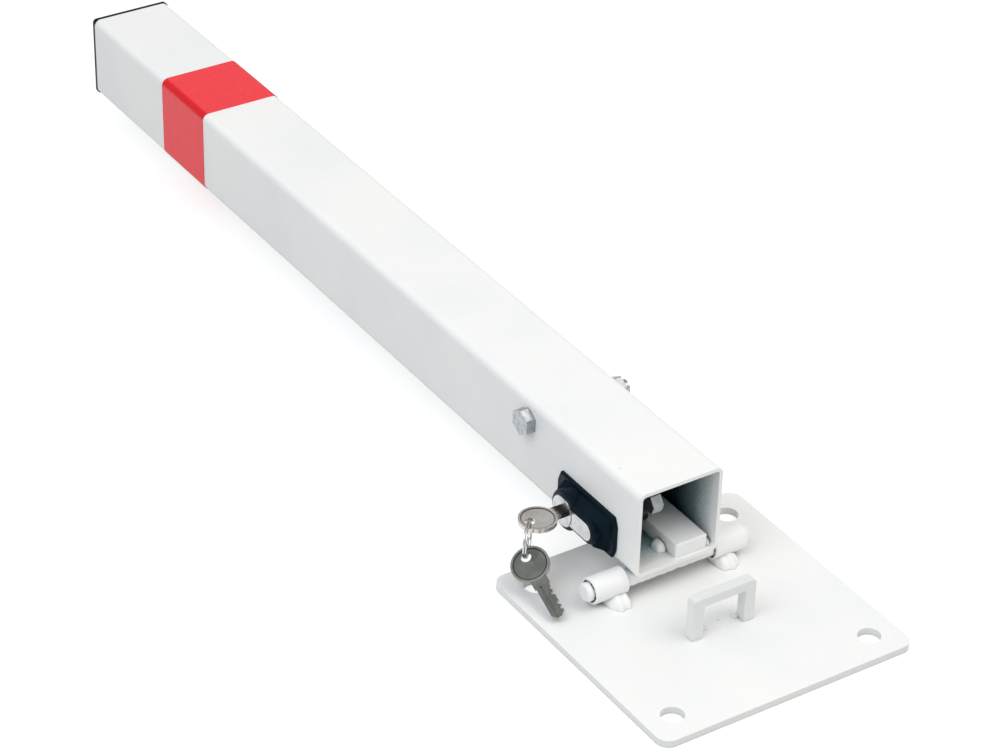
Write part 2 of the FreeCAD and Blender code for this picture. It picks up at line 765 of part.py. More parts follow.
def make_lock_plug():
    """Turning core of the cylinder, with a wide head, a keyway and a tail that carries the cam."""
    core = rod(ALONG_X, "lock_face", "lock_depth", "lock_height", "plug_radius", "cam_start")
    head = rod(ALONG_X, "lock_face - plug_head_height", "lock_depth", "lock_height", "plug_head_diameter / 2",
               "plug_head_height")
    tail = rod(ALONG_X, "cam_left", "lock_depth", "lock_height", "plug_tail_diameter / 2",
               "lock_length - cam_start - plug_tail_gap")
    keyway = box(f"lock_face - plug_head_height - {MARGIN}",
                 "lock_depth - blade_width / 2 - keyway_clearance",
                 "lock_height - key_thickness / 2 - keyway_clearance",
                 f"keyway_end - lock_face + plug_head_height + {MARGIN}",
                 "blade_width + 2 * keyway_clearance", "key_thickness + 2 * keyway_clearance")
    on_post(cut(fuse(core, head, tail), keyway), "lock_plug")


def make_lock_cam():
    """Ring with one nose, keyed to the plug's tail; at rest the nose stands clear of the hook."""
    hub = rod(ALONG_X, "cam_left + cam_play", "lock_depth", "lock_height", "lock_round_diameter / 2",
              "cam_width - 2 * cam_play")
    nose = box("cam_left + cam_play", 0, "-cam_nose_width / 2", "cam_width - 2 * cam_play", "cam_radius",
               "cam_nose_width")
    nose.Placement = FreeCAD.Placement(FreeCAD.Vector(), FreeCAD.Rotation(X, sheet.cam_rest_angle))
    move(nose, "cam_left + cam_play", "lock_depth + cam_nose_width / 2 * sin(cam_rest_angle * 1 deg)",
         "lock_height - cam_nose_width / 2 * cos(cam_rest_angle * 1 deg)")
    reach = rod(ALONG_X, "cam_left", "lock_depth", "lock_height", "cam_radius", "cam_width")
    bore = rod(ALONG_X, f"cam_left - {MARGIN}", "lock_depth", "lock_height", "plug_tail_diameter / 2",
               f"cam_width + 2 * {MARGIN}")
    on_post(cut(fuse(hub, common(nose, reach)), bore), "lock_cam")


def frustum(base, top, height):
    """A mound on the post's left side between two rectangles, each given as start, end, low and high."""
    thing = doc.addObject("Part::Wedge", "Mound")
    thing.Placement = FreeCAD.Placement(FreeCAD.Vector(), FreeCAD.Rotation(Z, 90))
    bind(thing, Ymin=0, Ymax=height, **dict(zip(("Xmin", "Xmax", "Zmin", "Zmax"), base)))
    bind(thing, **dict(zip(("X2min", "X2max", "Z2min", "Z2max"), top)))
    return move(thing, "-half_tube", 0, 0)


def make_lock_escutcheon():
    """Moulded guard on the post: a plate with curved ends, a mound on it and a collar round the lock."""
    plate = box("-half_tube - escutcheon_thickness", "escutcheon_start", "escutcheon_bottom",
                "escutcheon_thickness", "escutcheon_length", "escutcheon_width")
    bend = "((escutcheon_width ^ 2 / 4 + escutcheon_end_rise ^ 2) / (2 * escutcheon_end_rise))"
    middle = "escutcheon_bottom + escutcheon_width / 2"
    left = rod(ALONG_X, "-tube_size", f"escutcheon_start + {bend}", middle, bend, "tube_size")
    right = rod(ALONG_X, "-tube_size", f"escutcheon_start + escutcheon_length - {bend}", middle, bend,
                "tube_size")
    straight = box("-half_tube - escutcheon_thickness", "escutcheon_start + escutcheon_end_rise",
                   "escutcheon_bottom", "escutcheon_thickness",
                   "escutcheon_length - 2 * escutcheon_end_rise", "escutcheon_width")
    outer_face = -sheet.tube_size / 2 - sheet.escutcheon_thickness
    bevelled = round_edges(fuse(common(plate, left), common(plate, right), straight), "escutcheon_bevel",
                           lambda edge: abs(edge.CenterOfMass.x - outer_face) < ON_PLANE, "Chamfer")
    back = "lock_depth + lock_round_diameter / 2"
    rim = "(lock_lobe_width / 2 + collar_wall)"
    mound = frustum(("escutcheon_start + escutcheon_end_rise", f"{back} + collar_wall",
                     "escutcheon_bottom + mound_inset", "escutcheon_bottom + escutcheon_width - mound_inset"),
                    ("lock_depth - lock_lobe_reach", back, f"lock_height - {rim}", f"lock_height + {rim}"),
                    "mound_height")
    collar = lock_profile("collar_wall", "-half_tube - collar_height", "collar_height - escutcheon_bevel")
    rim_face = -sheet.tube_size / 2 - sheet.collar_height
    rounded = round_edges(collar, "collar_rim_radius",
                          lambda edge: abs(edge.CenterOfMass.x - rim_face) < ON_PLANE)
    opening = lock_profile("lock_hole_clearance", "-tube_size", "tube_size")
    on_post(cut(fuse(bevelled, mound, rounded), opening), "lock_escutcheon")


# Keys and their ring

def key_blade():
    """Flat blade along +X with a pointed tip. Its cuts are on the +Y edge; the depth of cut n is
    0.6 + 0.4 sin(2.3 n) of the full depth, so that no two are alike."""
    tip = "(key_length - bow_radius)"
    edge = "blade_width / 2"
    outline = [(0, f"-{edge}"), (f"{tip} - tip_bevel", f"-{edge}"), (tip, f"tip_bevel - {edge}"),
               (tip, f"{edge} - tip_bevel"), (f"{tip} - tip_bevel", edge)]
    for number in reversed(range(CUT_COUNT)):
        depth = f"({0.6 + 0.4 * math.sin(2.3 * number):.2f} * cut_depth)"
        middle = f"bow_radius + collar_length + first_cut + {number} * cut_pitch"
        for side in (1, -1):
            flank = [(f"{middle} + {side} * (cut_flat / 2 + cut_flank * {depth})", edge),
                     (f"{middle} + {side} * cut_flat / 2", f"{edge} - {depth}")]
            outline += flank if side > 0 else flank[::-1]
    outline.append((0, edge))
    body = new_body("Blade")
    section = new_sketch(body, "XY_Plane", "-key_thickness / 2")
    polygon(section, outline)
    pad(body, section, "key_thickness")
    return body


def key_shape():
    """A flat key about the middle of its round bow, blade along +X."""
    half = "key_thickness / 2"
    bow = rod(ALONG_Z, 0, 0, f"-{half}", "bow_radius", "key_thickness")
    recesses = [rod(ALONG_Z, 0, 0, level, "bow_radius - bow_rim", "bow_recess")
                for level in (f"-{half}", f"{half} - bow_recess")]
    neck = box(0, "-key_collar_width / 2", f"-{half} + bow_recess", "bow_radius + collar_length",
               "key_collar_width", "key_thickness - 2 * bow_recess")
    hole = rod(ALONG_Z, "-bow_hole_back", 0, "-key_thickness", "bow_hole_diameter / 2", "2 * key_thickness")
    groove_start = "bow_radius + collar_length"
    grooves = [box(groove_start, "-blade_width / 5", f"{half} - blade_groove", "key_length", "groove_width",
                   "blade_groove"),
               box(groove_start, "-blade_width / 4", f"-{half}", "key_length", "groove_width",
                   "blade_groove")]
    return cut(fuse(bow, neck, key_blade()), hole, *recesses, *grooves)


def make_key_in_lock():
    """Key pushed home in the plug, its bow level with the ground."""
    return node(move(key_shape(), "bow_centre_x", "mouth_y + lock_depth", "tube_bottom + lock_height"),
                "key_in_lock")


def toward(angle_down):
    """A direction in the ring's upright plane: 0 is level, away from the post; 90 is straight down."""
    level = FreeCAD.Rotation(Z, -sheet.ring_heading).multVec(-Y)
    down = math.radians(angle_down)
    return level * math.cos(down) - Z * math.sin(down)


def ring_middle(key):
    """The ring hangs on the far edge of the hole in the key's bow and leans out over the bow's rim."""
    hole = key.Placement.Base + FreeCAD.Vector(-sheet.bow_hole_back, 0, sheet.key_thickness / 2)
    inside = sheet.ring_radius - sheet.ring_wire_height - sheet.ring_play
    return hole + toward(0) * (sheet.bow_hole_diameter / 2) - toward(-90 - sheet.ring_lean) * inside


def make_key_ring(key):
    """Split ring: two flat coils side by side, joined over a short stretch."""
    width = "(2 * ring_coil_width + ring_coil_gap)"
    outside = rod(ALONG_Z, 0, 0, f"-{width} / 2", "ring_radius", width)
    inside = rod(ALONG_Z, 0, 0, f"-{width}", "ring_radius - ring_wire_height", f"2 * {width}")
    split = rod(ALONG_Z, 0, 0, "-ring_coil_gap / 2", f"ring_radius + {MARGIN}", "ring_coil_gap")
    joint = box(f"-ring_radius - {MARGIN}", "-ring_joint_length / 2", f"-{width}", "ring_radius",
                "ring_joint_length", f"2 * {width}")
    ring = cut(outside, inside, cut(split, joint))
    upright = FreeCAD.Rotation(toward(0), Z, toward(0).cross(Z), "ZXY")
    ring.Placement = FreeCAD.Placement(ring_middle(key), upright)
    node(ring, "key_ring")


def make_spare_key(key):
    """Second key, on the ring by the hole in its bow, with its tip close above the plate."""
    spare = key_shape()
    turn = FreeCAD.Rotation(sheet.spare_heading, sheet.spare_dip, sheet.spare_roll)
    wire = ring_middle(key) + toward(sheet.spare_hang) * (sheet.ring_radius - sheet.ring_wire_height / 2)
    hole = FreeCAD.Vector(-sheet.bow_hole_back - sheet.spare_slack, 0, -sheet.spare_rise)
    spare.Placement = FreeCAD.Placement(wire - turn.multVec(hole), turn)
    node(spare, "spare_key")


make_base_plate()
make_hinge_sleeve("hinge_sleeve_left", "-sleeve_outer_end")
make_hinge_sleeve("hinge_sleeve_right", "sleeve_inner_end")
make_sleeve_welds()
make_lock_staple()
make_staple_welds()
make_post_tube()
make_end_cap()
make_reflective_band()
make_hinge_shaft()
make_shaft_welds()
make_inner_bar()
make_inner_bar_welds()
make_pivot_bolt()
make_pivot_nut()
make_spacer("pivot_spacer_left", "-half_bore", "hook_left - hook_side_gap")
make_spacer("pivot_spacer_right", "hook_right + hook_side_gap", "half_bore")
make_latch_hook()
make_cylinder_body()
make_cylinder_screw()
make_lock_plug()
make_lock_cam()
make_lock_escutcheon()
first_key = make_key_in_lock()
doc.recompute()
make_key_ring(first_key)
make_spare_key(first_key)

doc.recompute()
for thing in doc.Objects:
    if any(word in thing.State for word in ("Invalid", "Error")):
        raise RuntimeError(f"{thing.Label} failed: {thing.State}")
os.makedirs("parts", exist_ok=True)
for thing in NODES:
    if thing.Shape.isNull() or not thing.Shape.isValid() or not thing.Shape.Solids:
        raise RuntimeError(f"{thing.Label} has no sound shape")
    thing.Shape.exportStep(f"parts/{thing.Label}.step")
    print(thing.Label, len(thing.Shape.Solids), round(thing.Shape.Volume, 1))
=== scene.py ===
# %% [markdown]
# Folding parking barrier, dressed around its packed construction model.
# The real object is a welded steel post and plate under a white powder coat, with a strip of red
# reflective film, a plastic end cap, a lock with two keys and a zinc-plated bolt.
# Nearly every form is already in the construction model, so most of the work here is the finish:
# what each surface is made of and how it was made. A few small pieces, whose ripples and windings a
# plain solid leaves out, are worked out below with numpy and take the plain ones' places.

# %% Load the frame
import math
import bpy
import numpy as np
from mathutils import Matrix, Vector


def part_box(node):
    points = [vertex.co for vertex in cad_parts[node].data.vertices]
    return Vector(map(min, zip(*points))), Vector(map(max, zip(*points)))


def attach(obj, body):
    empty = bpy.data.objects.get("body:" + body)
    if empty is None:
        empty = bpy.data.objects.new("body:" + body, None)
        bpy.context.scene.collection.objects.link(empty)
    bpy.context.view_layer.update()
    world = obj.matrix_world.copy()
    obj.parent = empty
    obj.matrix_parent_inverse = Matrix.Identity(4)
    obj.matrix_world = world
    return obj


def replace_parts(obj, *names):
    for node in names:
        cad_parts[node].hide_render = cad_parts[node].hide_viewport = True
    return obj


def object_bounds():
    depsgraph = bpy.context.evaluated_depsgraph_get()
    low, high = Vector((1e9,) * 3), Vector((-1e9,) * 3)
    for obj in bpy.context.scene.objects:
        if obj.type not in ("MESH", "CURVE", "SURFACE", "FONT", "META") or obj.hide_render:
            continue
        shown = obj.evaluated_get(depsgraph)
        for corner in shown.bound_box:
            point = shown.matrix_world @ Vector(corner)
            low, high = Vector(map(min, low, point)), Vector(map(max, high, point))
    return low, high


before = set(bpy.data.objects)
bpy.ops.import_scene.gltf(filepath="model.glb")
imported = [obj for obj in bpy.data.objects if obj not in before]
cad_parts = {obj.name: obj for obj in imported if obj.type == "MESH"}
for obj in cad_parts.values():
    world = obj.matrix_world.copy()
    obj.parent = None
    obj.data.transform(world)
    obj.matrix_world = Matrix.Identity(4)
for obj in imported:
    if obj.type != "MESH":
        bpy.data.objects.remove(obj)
CAD_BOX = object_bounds()
MM = 0.001
print("construction nodes:", len(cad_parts))

# %% [markdown]
# Colours are written as sRGB hex, the way a paint chart gives them, but a shader wants linear light,
# so one function turns the one into the other. A second function adds a node of any kind, with its
# settings and its links, and gives back the output that the next node needs. Each material below then
# reads as a short recipe.

# %% Colours and nodes
def linear(code):
    """sRGB hex to linear RGBA. A channel c from 0 to 1 becomes ((c + 0.055) / 1.055) ** 2.4, or
    c / 12.92 where it is darker than 0.04045."""
    values = [int(code[i:i + 2], 16) / 255 for i in (1, 3, 5)]
    return [c / 12.92 if c <= 0.04045 else ((c + 0.055) / 1.055) ** 2.4 for c in values] + [1.0]


def add(tree, kind, inputs=(), output=0, **settings):
    """Add a node and return one of its outputs. Inputs come in the node's own order, or by name or
    number. Each is another node's output, a colour in hex or a plain value."""
    made = tree.nodes.new("ShaderNode" + kind)
    for name, value in settings.items():
        setattr(made, name, value)
    for key, value in inputs.items() if isinstance(inputs, dict) else enumerate(inputs):
        if isinstance(value, bpy.types.NodeSocket):
            tree.links.new(value, made.inputs[key])
        else:
            made.inputs[key].default_value = linear(value) if isinstance(value, str) else value
    return made.outputs[output] if made.outputs else None


# A Mix node that is set to colours takes its share as input 0 and the two colours as 6 and 7
COLOURS = {"output": 2, "data_type": "RGBA"}
print("mid grey in linear light:", round(linear("#808080")[0], 3))

# %% [markdown]
# Nearly all the patterns here are textures on object coordinates, which stay with a piece when it
# moves. Their scale follows from a real size in millimetres, and a different size for each axis
# stretches them into lines. Painted shade darkens the colour where other faces stand close by, and
# ambient occlusion measures that: it tells how much of the open a point can see within a short reach.

# %% Patterns, painted shade and the surface
def pattern(tree, kind, size_mm, inputs=(), **settings):
    """A texture on object coordinates with details of about the given size, or sizes along X, Y, Z."""
    sizes = size_mm if isinstance(size_mm, tuple) else (size_mm,) * 3
    scale = tuple(1 / (size * MM) for size in sizes)
    here = add(tree, "TexCoord", output="Object")
    placed = add(tree, "Mapping", {"Vector": here, "Scale": scale})
    return add(tree, kind, {"Vector": placed, "Scale": 1.0, **dict(inputs)}, **settings)


def crevice(tree, reach_mm, closed, open_, share):
    """How much painted shade a point gets: the share where nearby faces close it in, nothing in the
    open.
    """
    seen = add(tree, "AmbientOcclusion", {"Distance": reach_mm * MM}, output="AO", samples=6)
    return add(tree, "MapRange", (seen, closed, open_, share, 0))


def relief(height, depth_mm):
    """Inputs of a Bump node that raises a surface by a pattern whose full range is the given depth."""
    return {"Height": height, "Distance": depth_mm * MM, "Strength": 1.0}


def new_material(name):
    """An empty material, with its node tree."""
    material = bpy.data.materials.new(name)
    material.use_nodes = True
    material.node_tree.nodes.clear()
    return material, material.node_tree


def cover(tree, inputs):
    """End a material's tree in one principled shader."""
    add(tree, "OutputMaterial", {"Surface": add(tree, "BsdfPrincipled", inputs)})


# %% [markdown]
# Powder coat: the steel is dusted with dry polyester powder and baked, so the film flows into a
# satin skin with a faint orange peel about a millimetre or two across, thicker in the corners.
# A principled shader with low bump gives that. A slow second noise lets the white drift a little
# warmer and cooler, and a sparse threshold leaves the few dark specks that bake into such a coat.
# The staple's coat is a shade greyer, which is painted shade over the whole staple.

# %% White powder coat
def coat_white(tree, pale="#F3F3F1", deep="#EEEFEF"):
    """The coat's own colour: a white that drifts over 60 mm, with a few dark specks about 11 mm apart
    in the rare patches that have any."""
    drift = pattern(tree, "TexNoise", 60, {"Detail": 3})
    share = add(tree, "MapRange", (drift, 0.35, 0.65, 0, 1))
    white = add(tree, "Mix", {0: share, 6: pale, 7: deep}, **COLOURS)
    specks = add(tree, "MapRange", (pattern(tree, "TexVoronoi", 11), 0.02, 0.045, 1, 0))
    patches = add(tree, "MapRange", (pattern(tree, "TexNoise", 35), 0.62, 0.66, 0, 1))
    seen = add(tree, "Math", (specks, patches), operation="MULTIPLY")
    return add(tree, "Mix", {0: seen, 6: white, 7: "#77736C"}, **COLOURS)


def coat_skin(tree, colour):
    """The satin skin: painted shade in the tight corners, gloss in slow patches and 1.6 mm orange peel.
    """
    # Painted shade: ambient occlusion darkens the coat where faces close in
    dust = crevice(tree, 4, 0.15, 0.55, 0.85)
    peel = pattern(tree, "TexNoise", 1.6, {"Detail": 1})
    cover(tree, {
        "Base Color": add(tree, "Mix", {0: dust, 6: colour, 7: "#5F6B71"}, **COLOURS),
        "Roughness": add(tree, "MapRange", (pattern(tree, "TexNoise", 9), 0.3, 0.7, 0.36, 0.46)),
        "Normal": add(tree, "Bump", relief(peel, 0.02)),
        "IOR": 1.45,
    })


def make_powder_coat(name, *tints):
    """The plain coat, in its own two whites or in other ones."""
    material, tree = new_material(name)
    coat_skin(tree, coat_white(tree, *tints))
    return material


COAT = make_powder_coat("white_polyester_powder_coat")
# A greyer copy of the coat: painted shade over the staple and its beads
STAPLE_COAT = make_powder_coat("shade_painted_white_powder_coat", "#E4E6E5", "#DEE1E0")
print("coats:", COAT.name, STAPLE_COAT.name)

# %% [markdown]
# Painted shade below the shaft: the hinge shaft is coated too, and its side that faces down is
# painted dark for the shade under it. The normal in object coordinates tells which side that is, and
# a little noise makes the border ragged.

# %% Painted shade below the shaft
def make_shaft_coat():
    """White coat with painted shade, dark where the normal's Z, made ragged by noise, is below about
    -0.4.
    """
    material, tree = new_material("powder_coat_with_painted_shade_below")
    normal = add(tree, "TexCoord", output="Normal")
    down = add(tree, "SeparateXYZ", (normal,), output=2)
    noise = pattern(tree, "TexNoise", 2.5, {"Detail": 3})
    grain = add(tree, "MapRange", (noise, 0.3, 0.7, -0.12, 0.12))
    level = add(tree, "Math", (down, grain), operation="ADD")
    # Painted shade on the side that faces down
    grime = add(tree, "MapRange", (level, -0.36, -0.6, 0, 0.85))
    coat_skin(tree, add(tree, "Mix", {0: grime, 6: coat_white(tree), 7: "#4A4D4A"}, **COLOURS))
    return material


SHAFT_COAT = make_shaft_coat()
print("shaft:", SHAFT_COAT.name)

# %% [markdown]
# Inside the tube the coat carries painted shade: behind the mouth it darkens with depth, as the
# shade in the bore does. The same recipe gets two more colours, mixed in by how deep a point lies in
# the bore: a blue grey half shade, then a dark blue deep shade, with a grainy border between.

# %% Painted shade inside the tube
MOUTH_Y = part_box("post_tube")[0].y
TUBE_MIDDLE_Z = sum(corner.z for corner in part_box("post_tube")) / 2
# Faces nearer than this to the tube's middle line are its bore and what lies in it
BORE_LIMIT = 23.3 * MM


def off_axis(tree):
    """How far along the tube a point lies, and how far off its middle line across and up or down."""
    axes = add(tree, "SeparateXYZ", (add(tree, "TexCoord", output="Object"),)).node.outputs
    across = add(tree, "Math", (axes[0],), operation="ABSOLUTE")
    level = add(tree, "Math", (axes[2], TUBE_MIDDLE_Z), operation="SUBTRACT")
    return axes[1], across, add(tree, "Math", (level,), operation="ABSOLUTE")


def make_thinning_coat(name, fade_start_mm, fade_end_mm, bare_share):
    """White coat that darkens with depth into painted shade, on faces inside the bore only."""
    material, tree = new_material(name)
    along, across, height = off_axis(tree)
    reach = add(tree, "Math", (across, height), operation="MAXIMUM")
    inside = add(tree, "Math", (reach, BORE_LIMIT), operation="LESS_THAN")
    start, end = (MOUTH_Y + depth_mm * MM for depth_mm in (fade_start_mm, fade_end_mm))
    depth = add(tree, "MapRange", (along, start, end, 0, bare_share))
    noise = pattern(tree, "TexNoise", 1.2, {"Detail": 3})
    grain = add(tree, "MapRange", (noise, 0.3, 0.7, -0.07, 0.07))
    ragged = add(tree, "Math", (depth, grain), operation="ADD")
    gate = add(tree, "MapRange", (along, start, start + fade_start_mm * MM, 0, 1))
    bare = add(tree, "Math", (ragged, gate), operation="MULTIPLY")
    masked = add(tree, "Math", (bare, inside), operation="MULTIPLY", use_clamp=True)
    # Painted shade: a blue grey half shade first, then a dark blue deep shade
    first = add(tree, "MapRange", (masked, 0, 0.5, 0, 1))
    second = add(tree, "MapRange", (masked, 0.35, 1, 0, 1))
    thin = add(tree, "Mix", {0: first, 6: coat_white(tree), 7: "#8DA3A9"}, **COLOURS)
    coat_skin(tree, add(tree, "Mix", {0: second, 6: thin, 7: "#173848"}, **COLOURS))
    return material


TUBE_COAT = make_thinning_coat("powder_coat_shade_painted_in_the_bore", 3, 34, 1.0)
BAR_COAT = make_thinning_coat("powder_coat_shade_painted_on_the_bar", 16, 75, 0.9)
print("mouth at y =", round(MOUTH_Y / MM, 2), "mm")

# %% [markdown]
# Reflective film: a glossy clear face over a red layer of tiny cells that throw light back. Seen from
# the side it is a saturated red with a fine honeycomb just below a smooth surface. Cells of the real
# film are about 3 mm wide, drawn here as a Voronoi net with a clear coat on top. Along the tube's
# rounded edges the red is painted deeper and its gloss tinted red, as painted shade for the dim bends.
# Winding has left faint streaks along the film's length.

# %% Red reflective film
def make_reflective_film():
    """The bend is where both distances from the tube's middle line are near the half width."""
    material, tree = new_material("red_reflective_film")
    cells = pattern(tree, "TexVoronoi", 3, feature="DISTANCE_TO_EDGE")
    net = add(tree, "MapRange", (cells, 0.02, 0.09, 1, 0))
    lit = add(tree, "MapRange", (net, 0, 1, 0, 0.35))
    red = add(tree, "Mix", {0: lit, 6: "#F22A37", 7: "#FA4650"}, **COLOURS)
    lines = pattern(tree, "TexNoise", (60, 2.5, 60))
    streaks = add(tree, "MapRange", (lines, 0.45, 0.7, 0, 0.18))
    streaked = add(tree, "Mix", {0: streaks, 6: red, 7: "#D61C2E"}, **COLOURS)
    _, across, height = off_axis(tree)
    bend = add(tree, "Math", (across, height), operation="MINIMUM")
    # Painted shade at the bends: a deeper red and a red-tinted gloss
    pulled = add(tree, "MapRange", (bend, 21.4 * MM, 22.8 * MM, 0, 0.85))
    cover(tree, {
        "Base Color": add(tree, "Mix", {0: pulled, 6: streaked, 7: "#DA0A1A"}, **COLOURS),
        "Specular Tint": add(tree, "Mix", {0: pulled, 6: "#FFFFFF", 7: "#FF4444"}, **COLOURS),
        "Normal": add(tree, "Bump", relief(net, 0.003)),
        "Roughness": 0.42,
        "IOR": 1.38,
        "Coat Weight": 0.12,
        "Coat Roughness": 0.1,
    })
    return material


FILM = make_reflective_film()
print("film:", FILM.name)

# %% [markdown]
# Moulded plastic, for the lock's guard and the end cap: black polypropylene with the fine grain of
# a spark-eroded mould. Its gloss is broken by that grain, so highlights are wide and soft. The grain
# is drawn about 0.35 mm across, coarser than the real one, so that it shows at all.

# %% Black moulded plastic
def make_black_plastic():
    """Near-black in two tints, with a roughness that wanders and the mould's grain as bump."""
    material, tree = new_material("black_moulded_polypropylene")
    clouds = add(tree, "MapRange", (pattern(tree, "TexNoise", 14), 0.3, 0.7, 0, 1))
    cover(tree, {
        "Base Color": add(tree, "Mix", {0: clouds, 6: "#010A12", 7: "#041019"}, **COLOURS),
        "Roughness": add(tree, "MapRange", (pattern(tree, "TexNoise", 5), 0.3, 0.7, 0.42, 0.54)),
        "Normal": add(tree, "Bump", relief(pattern(tree, "TexNoise", 0.35), 0.008)),
        "IOR": 1.34,
        # Painted reflection colour: the blue tint gives the lit facets' gloss a bluish sheen
        "Specular Tint": "#7FB6D8",
    })
    return material


PLASTIC = make_black_plastic()
print("plastic:", PLASTIC.name)

# %% [markdown]
# Plated metals: zinc is a cool grey skin with faint cloudy patches, and chrome is brighter and
# smoother. Both are one recipe with other numbers: a metal, patches that shift its tint, and the
# fine lines of a polishing wheel, made by stretching a noise along one axis. Painted shade darkens
# their colour in crevices.

# %% Plated metals
def make_metal(name, tints, rough, patch_mm, scratch_mm, scratch_depth_mm, marks=None, worn=None):
    """A plated metal: two tints in patches, a roughness range, painted shade in its crevices and
    scratches along Y. The next to last argument is a function giving the share of painted shade that a
    piece's own places add, and the last one gives how bright wear and a painted highlight make each
    point."""
    material, tree = new_material(name)
    clouds = pattern(tree, "TexNoise", patch_mm, {"Detail": 4})
    patches = add(tree, "MapRange", (clouds, 0.35, 0.65, 0, 1))
    plated = add(tree, "Mix", {0: patches, 6: tints[0], 7: tints[1]}, **COLOURS)
    # Wear and a painted highlight lighten the points that this function picks
    if worn:
        plated = add(tree, "Mix", {0: worn(tree), 6: plated, 7: "#C9C8C2"}, **COLOURS)
    # Painted shade: darker colour in crevices and at each piece's own shaded places
    grime = crevice(tree, 1.2, 0.25, 0.7, 0.85)
    if marks:
        grime = add(tree, "Math", (grime, marks(tree)), operation="MAXIMUM")
    brushed = pattern(tree, "TexNoise", (scratch_mm, 20 * scratch_mm, scratch_mm))
    cover(tree, {
        "Base Color": add(tree, "Mix", {0: grime, 6: plated, 7: "#14181A"}, **COLOURS),
        "Metallic": 1.0,
        "Roughness": add(tree, "MapRange", (brushed, 0.3, 0.7, *rough)),
        "Normal": add(tree, "Bump", relief(brushed, scratch_depth_mm)),
    })
    return material


CHROME_LOOK = (("#CFD1D3", "#B9BCBF"), (0.10, 0.24), 5, 0.2, 0.003)
ZINC = make_metal("zinc_plated_steel", ("#B9BDC0", "#9DA1A5"), (0.24, 0.40), 3, 0.35, 0.006)
CHROME = make_metal("bright_chrome_plate", *CHROME_LOOK)
print("metals:", ZINC.name, CHROME.name)

# %% [markdown]
# Painted shade and highlights: a dark line is painted along each key's bow inside its raised rim,
# and the neck of the key that stands in the lock is painted dark towards the lock's face, for the
# shade in the gap there. The housing is bright on its face only and painted dark behind the post's
# wall, for the shade inside the tube. The spare key is dark steel whose narrow sides are lighter,
# partly rubbed bright and partly a painted highlight. Each mark is a small function of the place or
# the normal in object coordinates.

# %% Painted shade and highlights on the keys and the housing
BOW_IN_LOCK = (-49.6, 72.8, 32.3)
SPARE_BOW = (-62.36, 59.18, 17.98)
# The direction that the spare key's flat side faces
SPARE_FACING = (0.4628, 0.2277, -0.8567)


def ring_share(tree, middle_mm, inner, outer):
    """A ring about a bow's middle. Inner and outer are the ranges of its two borders, in millimetres
    and shares; the product of both is returned."""
    here = add(tree, "TexCoord", output="Object")
    middle = tuple(part * MM for part in middle_mm)
    away = add(tree, "VectorMath", (here, middle), output="Value", operation="DISTANCE")
    borders = [add(tree, "MapRange", (away, low * MM, high * MM, low_to, high_to))
               for low, high, low_to, high_to in (inner, outer)]
    return add(tree, "Math", borders, operation="MULTIPLY")


def rim_line(tree, middle_mm):
    """Painted shade along the inside of a bow's raised rim, 8.1 to 8.9 mm from the bow's middle."""
    return ring_share(tree, middle_mm, (8.05, 8.5, 0, 0.8), (8.85, 8.95, 1, 0))


def marks_of_key_in_lock(tree):
    """The rim's line, and painted shade on the neck that grows towards the lock's face along X."""
    along = add(tree, "SeparateXYZ", (add(tree, "TexCoord", output="Object"),))
    noise = pattern(tree, "TexNoise", 1.5, {"Detail": 3})
    ragged = add(tree, "MapRange", (noise, 0.3, 0.7, -0.8 * MM, 0.8 * MM))
    edge = add(tree, "Math", (along, ragged), operation="ADD")
    # Painted shade on the neck, growing towards the lock's face
    grease = add(tree, "MapRange", (edge, -39.6 * MM, -38.2 * MM, 0, 0.92))
    return add(tree, "Math", (grease, rim_line(tree, BOW_IN_LOCK)), operation="MAXIMUM")


def marks_of_housing(tree):
    """Painted shade behind the post's wall, which begins 25 mm left of the tube's middle."""
    along = add(tree, "SeparateXYZ", (add(tree, "TexCoord", output="Object"),))
    return add(tree, "MapRange", (along, -26 * MM, -23 * MM, 0, 0.95))


def marks_of_spare_key(tree):
    """The rim's line only: this key hangs free."""
    return rim_line(tree, SPARE_BOW)


def worn_edges_of_spare_key(tree):
    """Wear and a painted highlight, bright on the narrow sides where the normal lies in the key's plane
    and a little on the rim.
    """
    normal = add(tree, "TexCoord", output="Normal")
    facing = add(tree, "VectorMath", (normal, SPARE_FACING), output="Value", operation="DOT_PRODUCT")
    flat = add(tree, "Math", (facing,), operation="ABSOLUTE")
    narrow = add(tree, "MapRange", (flat, 0.55, 0.25, 0, 0.9))
    rim = ring_share(tree, SPARE_BOW, (8.8, 9.1, 0, 0.25), (9.9, 10.2, 1, 0))
    return add(tree, "Math", (narrow, rim), operation="MAXIMUM")


NICKEL = make_metal("polished_nickel_plate", ("#DAD4CE", "#C8C0BA"), (0.14, 0.26), 6, 0.2, 0.003,
                    marks_of_key_in_lock)
HOUSING = make_metal("chrome_plate_with_painted_shade", *CHROME_LOOK, marks_of_housing)
DARK = make_metal("darkened_key_steel", ("#7C7D77", "#686A65"), (0.26, 0.40), 9, 0.25, 0.005,
                  marks_of_spare_key, worn_edges_of_spare_key)
print("marked metals:", NICKEL.name, HOUSING.name, DARK.name)

# %% [markdown]
# Now each construction node gets its finish. The shapes stay as they are; only the material in the
# object's slot changes.

